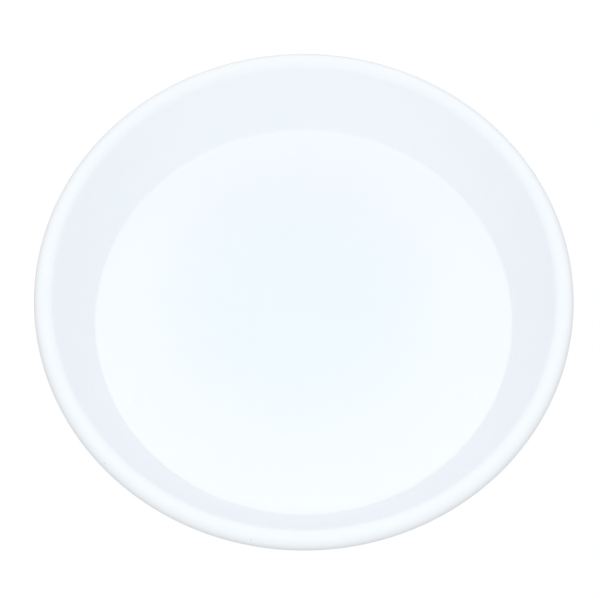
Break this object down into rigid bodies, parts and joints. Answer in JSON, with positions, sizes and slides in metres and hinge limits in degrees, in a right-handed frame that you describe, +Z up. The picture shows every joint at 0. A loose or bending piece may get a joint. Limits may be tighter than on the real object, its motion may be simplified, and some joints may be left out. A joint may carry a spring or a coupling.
{
  "type": "evaporating dish",
  "caption": "Shallow round dish for evaporating or weighing: flat floor, flared side wall, round bead along the rim and a low foot ring to stand on.",
  "frame": {"origin": "centre of the foot ring's lower face, on the surface the dish stands on", "axes": "+Z up along the dish's axis; +Y towards one of the ejector pin marks in the floor"},
  "size_m": [0.1, 0.1, 0.0168],
  "materials": {
    "white_moulding": "satin"
  },
  "bodies": {
    "root": {"floor": "white_moulding", "side_wall": "white_moulding", "rim_bead": "white_moulding", "foot_ring": "white_moulding"}
  },
  "joints": []
}
